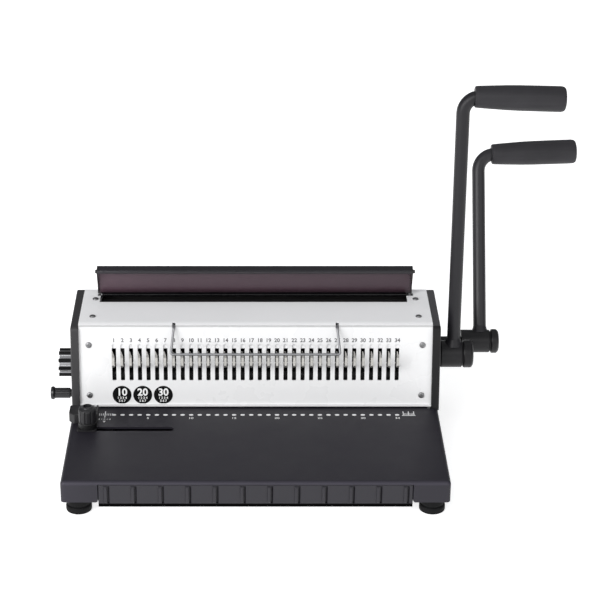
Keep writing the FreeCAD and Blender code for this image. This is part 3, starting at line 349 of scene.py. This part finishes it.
ASSIGN = {
    "tray_cover": "tray", "drawer_front": "drawer", "drawer_tray": "drawer", "drawer_rails": "chassis", "base_pan": "chassis",
    "left_side_cover": "side", "right_side_cover": "side_right_painted_light", "left_frame_plate": "chassis", "right_frame_plate": "chassis",
    "front_panel": "panel", "top_cover": "deck", "rear_cover": "rear", "panel_screws": "screw", "foot_screws": "zinc",
    "rubber_feet": "rubber", "hook_comb": "hook", "die_block": "tool_x", "punch_guide": "tool_x", "punch_guide_pins": "bright_z",
    "punch_bar": "black_steel", "punches": "black_steel", "return_springs": "bright_z", "punch_lever_rod": "lever",
    "punch_lever_hub": "hub", "punch_lever_cap": "cap", "punch_lever_grip": "grip", "punch_lever_shaft": "black_steel",
    "closing_lever_rod": "lever_b_painted_lighter", "closing_lever_hub": "hub", "closing_lever_cap": "cap_b_painted_lighter", "closing_lever_grip": "grip",
    "closing_lever_shaft": "hub", "punch_pinions": "tool_x", "closing_pinions": "tool_x", "shaft_bushes": "brass",
    "closing_anvil": "black_steel", "rear_beam": "black_steel", "closing_bar": "black_steel", "closing_guide_rods": "bright_x",
    "size_dial": "dial", "size_dial_shaft": "bright_x", "size_stop_cams": "tool_x", "margin_knob": "knob",
    "paper_stop_bar": "tool_x", "lid": "lid", "lid_hinge_pin": "bright_x", "lid_hinge_brackets": "side", "wire_bail": "wire",
    "bail_clips": "chassis", "side_guide_block": "guide", "side_guide_knob": "knob_g", "side_guide_stud": "bright_z",
    "side_guide_shoe": "tool_x",
}
for name, obj in NODE.items():
    mat = M[ASSIGN[name]]
    if not obj.material_slots:
        obj.data.materials.append(mat)
    for s in obj.material_slots:
        s.material = mat


# ---------------------------------------------------------------------------
# prints
# ---------------------------------------------------------------------------
def add_mesh(name, verts, faces, mat, body, slot):
    me = bpy.data.meshes.new(name)
    me.from_pydata([tuple(v) for v in verts], [], faces)
    bm = bmesh.new()
    bm.from_mesh(me)
    bmesh.ops.recalc_face_normals(bm, faces=bm.faces)
    bm.to_mesh(me)
    bm.free()
    ob = bpy.data.objects.new(name, me)
    bpy.context.scene.collection.objects.link(ob)
    ob.data.materials.append(mat)
    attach(ob, body)
    return ob


def plate(outline, place, t0, t1):
    """Thin closed plate: outline in its own plane, from height t0 to t1; place(u, v, w) puts it."""
    n = len(outline)
    v = [place(a, b, t0) for a, b in outline] + [place(a, b, t1) for a, b in outline]
    f = [tuple(range(n - 1, -1, -1)), tuple(range(n, 2 * n))]
    f += [(i, (i + 1) % n, n + (i + 1) % n, n + i) for i in range(n)]
    return v, f


def join(parts):
    vs, fs = [], []
    for v, f in parts:
        b = len(vs)
        vs += v
        fs += [tuple(i + b for i in q) for q in f]
    return vs, fs


def rounded(w, h, r, n=5):
    pts = []
    for cx, cy, a0 in ((w / 2 - r, h / 2 - r, 0), (-w / 2 + r, h / 2 - r, 90), (-w / 2 + r, -h / 2 + r, 180), (w / 2 - r, -h / 2 + r, 270)):
        for i in range(n + 1):
            a = math.radians(a0 + 90.0 * i / n)
            pts.append((cx + r * math.cos(a), cy + r * math.sin(a)))
    return pts


def circle(r, n=64):
    return [(r * math.cos(2 * math.pi * i / n), r * math.sin(2 * math.pi * i / n)) for i in range(n)]


def on_panel(x, h):
    return lambda u, v, w: panel_pt(x + u, h + v, w)


def on_tray(x, y):
    return lambda u, v, w: mm(x + u, y + v, TRAY_Z + w)


def digits(text, size, thick, weight=0.0):
    """Closed mesh of a number, centred, in millimetres: (verts (u, v, w), faces)."""
    cu = bpy.data.curves.new("digits", "FONT")
    cu.body = text
    cu.size = size
    cu.align_x = "CENTER"
    cu.align_y = "CENTER"
    cu.extrude = thick / 2
    cu.offset = weight
    cu.resolution_u = 4
    tmp = bpy.data.objects.new("digits", cu)
    bpy.context.scene.collection.objects.link(tmp)
    dg = bpy.context.evaluated_depsgraph_get()
    dg.update()
    me = bpy.data.meshes.new_from_object(tmp.evaluated_get(dg))
    bm = bmesh.new()
    bm.from_mesh(me)
    bmesh.ops.remove_doubles(bm, verts=bm.verts, dist=1e-5)
    vs = [(v.co.x, v.co.y, v.co.z + thick / 2) for v in bm.verts]
    fs = [tuple(v.index for v in f.verts) for f in bm.faces]
    bm.free()
    bpy.data.objects.remove(tmp)
    bpy.data.curves.remove(cu)
    bpy.data.meshes.remove(me)
    return vs, fs


def put_digits(text, size, place, lift, thick=0.04, weight=0.0):
    vs, fs = digits(text, size, thick, weight)
    return [place(a, b, lift + c) for a, b, c in vs], fs


def slot_x(i):
    return (i - 16.5) * PITCH


# numbers above the slots
parts = [put_digits(str(i + 1), 5.5, on_panel(slot_x(i), 69.3), 0.01, weight=0.14) for i in range(34)]
add_mesh("slot_numbers", *join(parts), M["print_grey"], "housing", "panel_white")

# three round badges with plain numbers
discs, nums = [], []
for x, big, rows in ((-132.5, "10", ("1 2 3 4", "5 6 7")), (-112.0, "20", ("1 2 3 4", "5 6 7")), (-91.5, "30", ("1 2 3 4", "5 6 7"))):
    discs.append(plate(circle(9.4), on_panel(x, 12.75), 0.01, 0.15))
    nums.append(put_digits(big, 10.4, on_panel(x, 15.3), 0.15, weight=0.3))
    nums.append(put_digits(rows[0], 3.3, on_panel(x, 9.6), 0.15, weight=0.1))
    nums.append(put_digits(rows[1], 3.2, on_panel(x, 6.5), 0.15, weight=0.09))
add_mesh("badge_discs", *join(discs), M["print_black"], "housing", "panel_white")
add_mesh("badge_numbers", *join(nums), M["print_white"], "housing", "panel_white")

# marks on the tray: a dash under each slot, numbers under every fifth, scales at both ends
def stroke(x, y0, y1, w):
    return plate([(-w / 2, y0), (w / 2, y0), (w / 2, y1), (-w / 2, y1)], on_tray(x, 0.0), 0.005, 0.04)


parts = [plate(rounded(4.3, 3.3, 1.5), on_tray(slot_x(i), -17.0), 0.005, 0.04) for i in range(34)]
parts.append(stroke(-148.4, -22.6, -9.6, 0.9))
for i in (-4, -3, -2, -1, 1, 2, 3, 4):
    parts.append(stroke(-148.4 + 1.8 * i, -18.4, -14.2, 0.7))
parts.append(plate([(-1.5, 0), (1.5, 0), (0, -3.6)][::-1], on_tray(-148.4, -29.6), 0.005, 0.04))
for i in range(9):
    parts.append(stroke(145.9 + 1.3 * i, -18.4, -9.8 if i % 4 == 0 else -13.6, 0.9 if i % 4 == 0 else 0.55))
parts.append(plate([(-6.6, -0.7), (6.6, -0.7), (6.6, 0.7), (-6.6, 0.7)], on_tray(151.1, -18.2), 0.005, 0.04))
add_mesh("tray_marks", *join(parts), M["print_white"], "housing", "tray_paint")
parts = [put_digits(str(i), 5.0, on_tray(slot_x(i - 1), -23.9), 0.005, weight=0.05) for i in (5, 10, 15, 20, 25, 30, 34)]
parts.append(put_digits("2 1 0 1 2", 3.4, on_tray(-148.4, -26.3), 0.005, weight=0.08))
add_mesh("tray_numbers", *join(parts), M["print_white"], "housing", "tray_paint")


# ---------------------------------------------------------------------------
# floor, light, camera
# ---------------------------------------------------------------------------
def floor():
    me = bpy.data.meshes.new("floor")
    s = 14.0
    me.from_pydata([(-s, -s, 0), (s, -s, 0), (s, s, 0), (-s, s, 0)], [], [(0, 1, 2, 3)])
    ob = bpy.data.objects.new("floor", me)
    bpy.context.scene.collection.objects.link(ob)
    m = paint("floor_paper", (0.93, 0.93, 0.93), (0.75, 0.85), 0.2, grain=300, depth=0.0001, strength=0.02, vary=0.004, patch=3.0)
    p = next(n for n in m.node_tree.nodes if n.type == "BSDF_PRINCIPLED")
    p.inputs["Emission Color"].default_value = (1, 1, 1, 1)
    p.inputs["Emission Strength"].default_value = 0.62
    ob.data.materials.append(m)


floor()


def sun(name, elev, az, strength, angle, color=(1, 1, 1)):
    """Light from the given height and bearing (0 is from the camera's side, 90 from the right)."""
    li = bpy.data.lights.new(name, "SUN")
    li.energy = strength
    li.angle = math.radians(angle)
    li.color = color
    ob = bpy.data.objects.new(name, li)
    e, a = math.radians(elev), math.radians(az)
    d = Vector((math.cos(e) * math.sin(a), -math.cos(e) * math.cos(a), math.sin(e)))
    ob.rotation_mode = "QUATERNION"
    ob.rotation_quaternion = d.to_track_quat("Z", "Y")
    ob.location = d * 4
    bpy.context.scene.collection.objects.link(ob)


def softbox(name, pos, target, size, power):
    li = bpy.data.lights.new(name, "AREA")
    li.shape = "RECTANGLE"
    li.size, li.size_y = size
    li.energy = power
    ob = bpy.data.objects.new(name, li)
    ob.location = pos
    d = Vector(pos) - Vector(target)
    ob.rotation_mode = "QUATERNION"
    ob.rotation_quaternion = d.to_track_quat("Z", "Y")
    bpy.context.scene.collection.objects.link(ob)


sun("key", 32, -30, 1.25, 40)
sun("fill", 24, 32, 0.75, 60)
sun("top", 80, 150, 0.35, 70)
softbox("left_box", (-1.35, -1.15, 0.85), (0.0, 0.0, 0.12), (1.0, 1.0), 16.0)

world = bpy.data.worlds.new("studio")
world.use_nodes = True
bg = world.node_tree.nodes["Background"]
bg.inputs["Color"].default_value = (0.95, 0.97, 1.0, 1.0)
bg.inputs["Strength"].default_value = 0.24
bpy.context.scene.world = world
bpy.context.scene.view_settings.view_transform = "Standard"
bpy.context.scene.view_settings.look = "None"

cam = bpy.data.cameras.new("camera")
cam.lens = 117.5
cam.sensor_width = 36.0
cam.sensor_fit = "HORIZONTAL"
cam.shift_x = 0.0741
cam.clip_end = 60.0
co = bpy.data.objects.new("camera", cam)
co.location = mm(0.0, -1732.7, 932.7)
co.rotation_euler = (math.radians(65.79), 0, 0)
bpy.context.scene.collection.objects.link(co)
bpy.context.scene.camera = co
